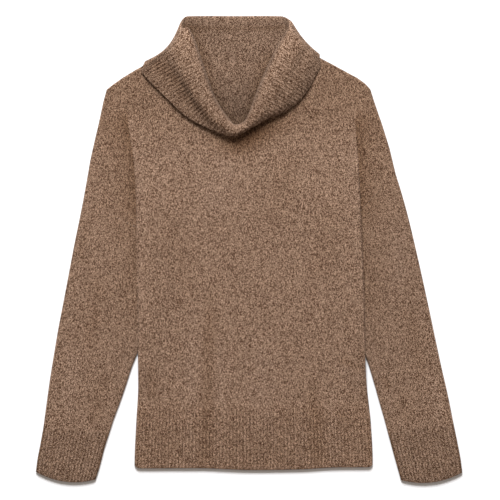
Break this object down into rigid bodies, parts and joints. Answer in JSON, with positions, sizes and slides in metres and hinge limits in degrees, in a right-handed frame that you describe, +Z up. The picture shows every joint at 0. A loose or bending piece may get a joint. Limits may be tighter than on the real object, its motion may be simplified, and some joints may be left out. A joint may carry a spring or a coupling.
{
  "type": "cowl neck top",
  "caption": "Long-sleeved knitted top with a folded cowl collar, dropped shoulders and ribbed hem and cuffs, laid flat face up.",
  "frame": {"origin": "on the surface the top lies on, under the middle of the back panel", "axes": "+Z up from the surface, out of the front panel; +Y along the body from the hem to the collar; +X to the right as the laid top is seen from above"},
  "size_m": [0.6606, 0.7235, 0.0302],
  "materials": {
    "body_knit": "matt brown marl, fine plain knit",
    "rib_knit": "matt brown marl, ribbed knit"
  },
  "bodies": {
    "root": {"front": "body_knit", "back": "body_knit", "sleeve_left": "body_knit", "sleeve_right": "body_knit", "cuff_left": "rib_knit", "cuff_right": "rib_knit", "hem_front": "rib_knit", "hem_back": "rib_knit", "collar": "rib_knit"}
  },
  "joints": []
}
